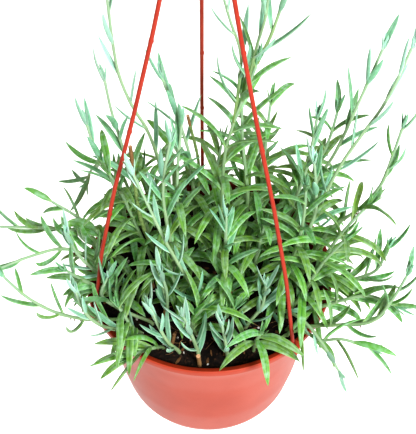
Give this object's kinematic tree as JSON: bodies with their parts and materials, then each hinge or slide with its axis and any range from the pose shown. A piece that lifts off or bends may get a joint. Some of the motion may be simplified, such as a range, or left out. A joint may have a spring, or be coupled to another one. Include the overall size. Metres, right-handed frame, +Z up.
{
  "type": "potted string of fishhooks",
  "caption": "Trailing succulent with narrow pointed leaves on leafy stems, in a round plastic pot that hangs by three slim arms from a hub with an open hook.",
  "frame": {"origin": "centre of the pot's flat base", "axes": "+Z up through the pot towards the hanger's hook, +X to the right and -Y towards the viewer of the picture"},
  "size_m": [0.2822, 0.2363, 0.4719],
  "materials": {
    "pot_plastic": "satin injection-moulded polypropylene, terracotta coral",
    "hanger_plastic": "smooth moulded polypropylene, coral red",
    "potting_soil": "loose dark potting mix of peat, bark and perlite",
    "young_foliage": "living succulent leaf, waxy blue-green bloom",
    "mature_foliage": "living succulent leaf, satin green"
  },
  "bodies": {
    "root": {"pot": "pot_plastic", "soil": "potting_soil", "hanger_arm_left": "hanger_plastic", "hanger_arm_right": "hanger_plastic", "hanger_arm_back": "hanger_plastic", "hanger_hook": "hanger_plastic", "stem_tall_left": "young_foliage", "stem_left_upper": "young_foliage", "stem_left_fan": "young_foliage", "stem_left_arch": "mature_foliage", "stem_left_high": "mature_foliage", "stem_left_long": "mature_foliage", "stem_left_curl": "mature_foliage", "stem_left_thin": "mature_foliage", "stem_left_tuft": "young_foliage", "stem_left_low": "mature_foliage", "stem_left_rim": "young_foliage", "stem_left_blade": "young_foliage", "stem_front_slant": "young_foliage", "stem_front_left_tuft": "young_foliage", "stem_back_left": "young_foliage", "stem_mid_left": "young_foliage", "stem_mid_slim": "young_foliage", "stem_main": "mature_foliage", "stem_second": "mature_foliage", "stem_arch_right": "mature_foliage", "stem_right_tall": "young_foliage", "stem_right_thick": "young_foliage", "stem_right_elbow": "mature_foliage", "stem_right_cluster": "young_foliage", "stem_right_back": "mature_foliage", "stem_right_slim": "young_foliage", "stem_right_pale": "mature_foliage", "stem_right_arch": "mature_foliage", "stem_right_fall": "mature_foliage", "stem_right_trail": "mature_foliage", "stem_right_hooks": "mature_foliage", "stem_right_low": "mature_foliage", "stem_right_leaf": "mature_foliage", "stem_grey_trail": "young_foliage", "stem_front_right_tuft": "young_foliage", "stem_front_shoot": "young_foliage", "stem_front_pale": "young_foliage", "stem_front_stub": "young_foliage", "stem_front_low": "young_foliage", "stem_front_fall": "mature_foliage", "stem_front_right": "mature_foliage", "stem_front_cross": "mature_foliage", "stem_front_mid": "mature_foliage", "stem_front_left": "mature_foliage", "stem_back_right": "mature_foliage", "stem_back_mid_right": "mature_foliage", "stem_back_middle": "mature_foliage", "stem_back_side_left": "mature_foliage", "stem_inner_left": "mature_foliage", "stem_inner_back": "mature_foliage", "stem_inner_front": "mature_foliage", "stem_inner_right": "mature_foliage"}
  },
  "joints": []
}
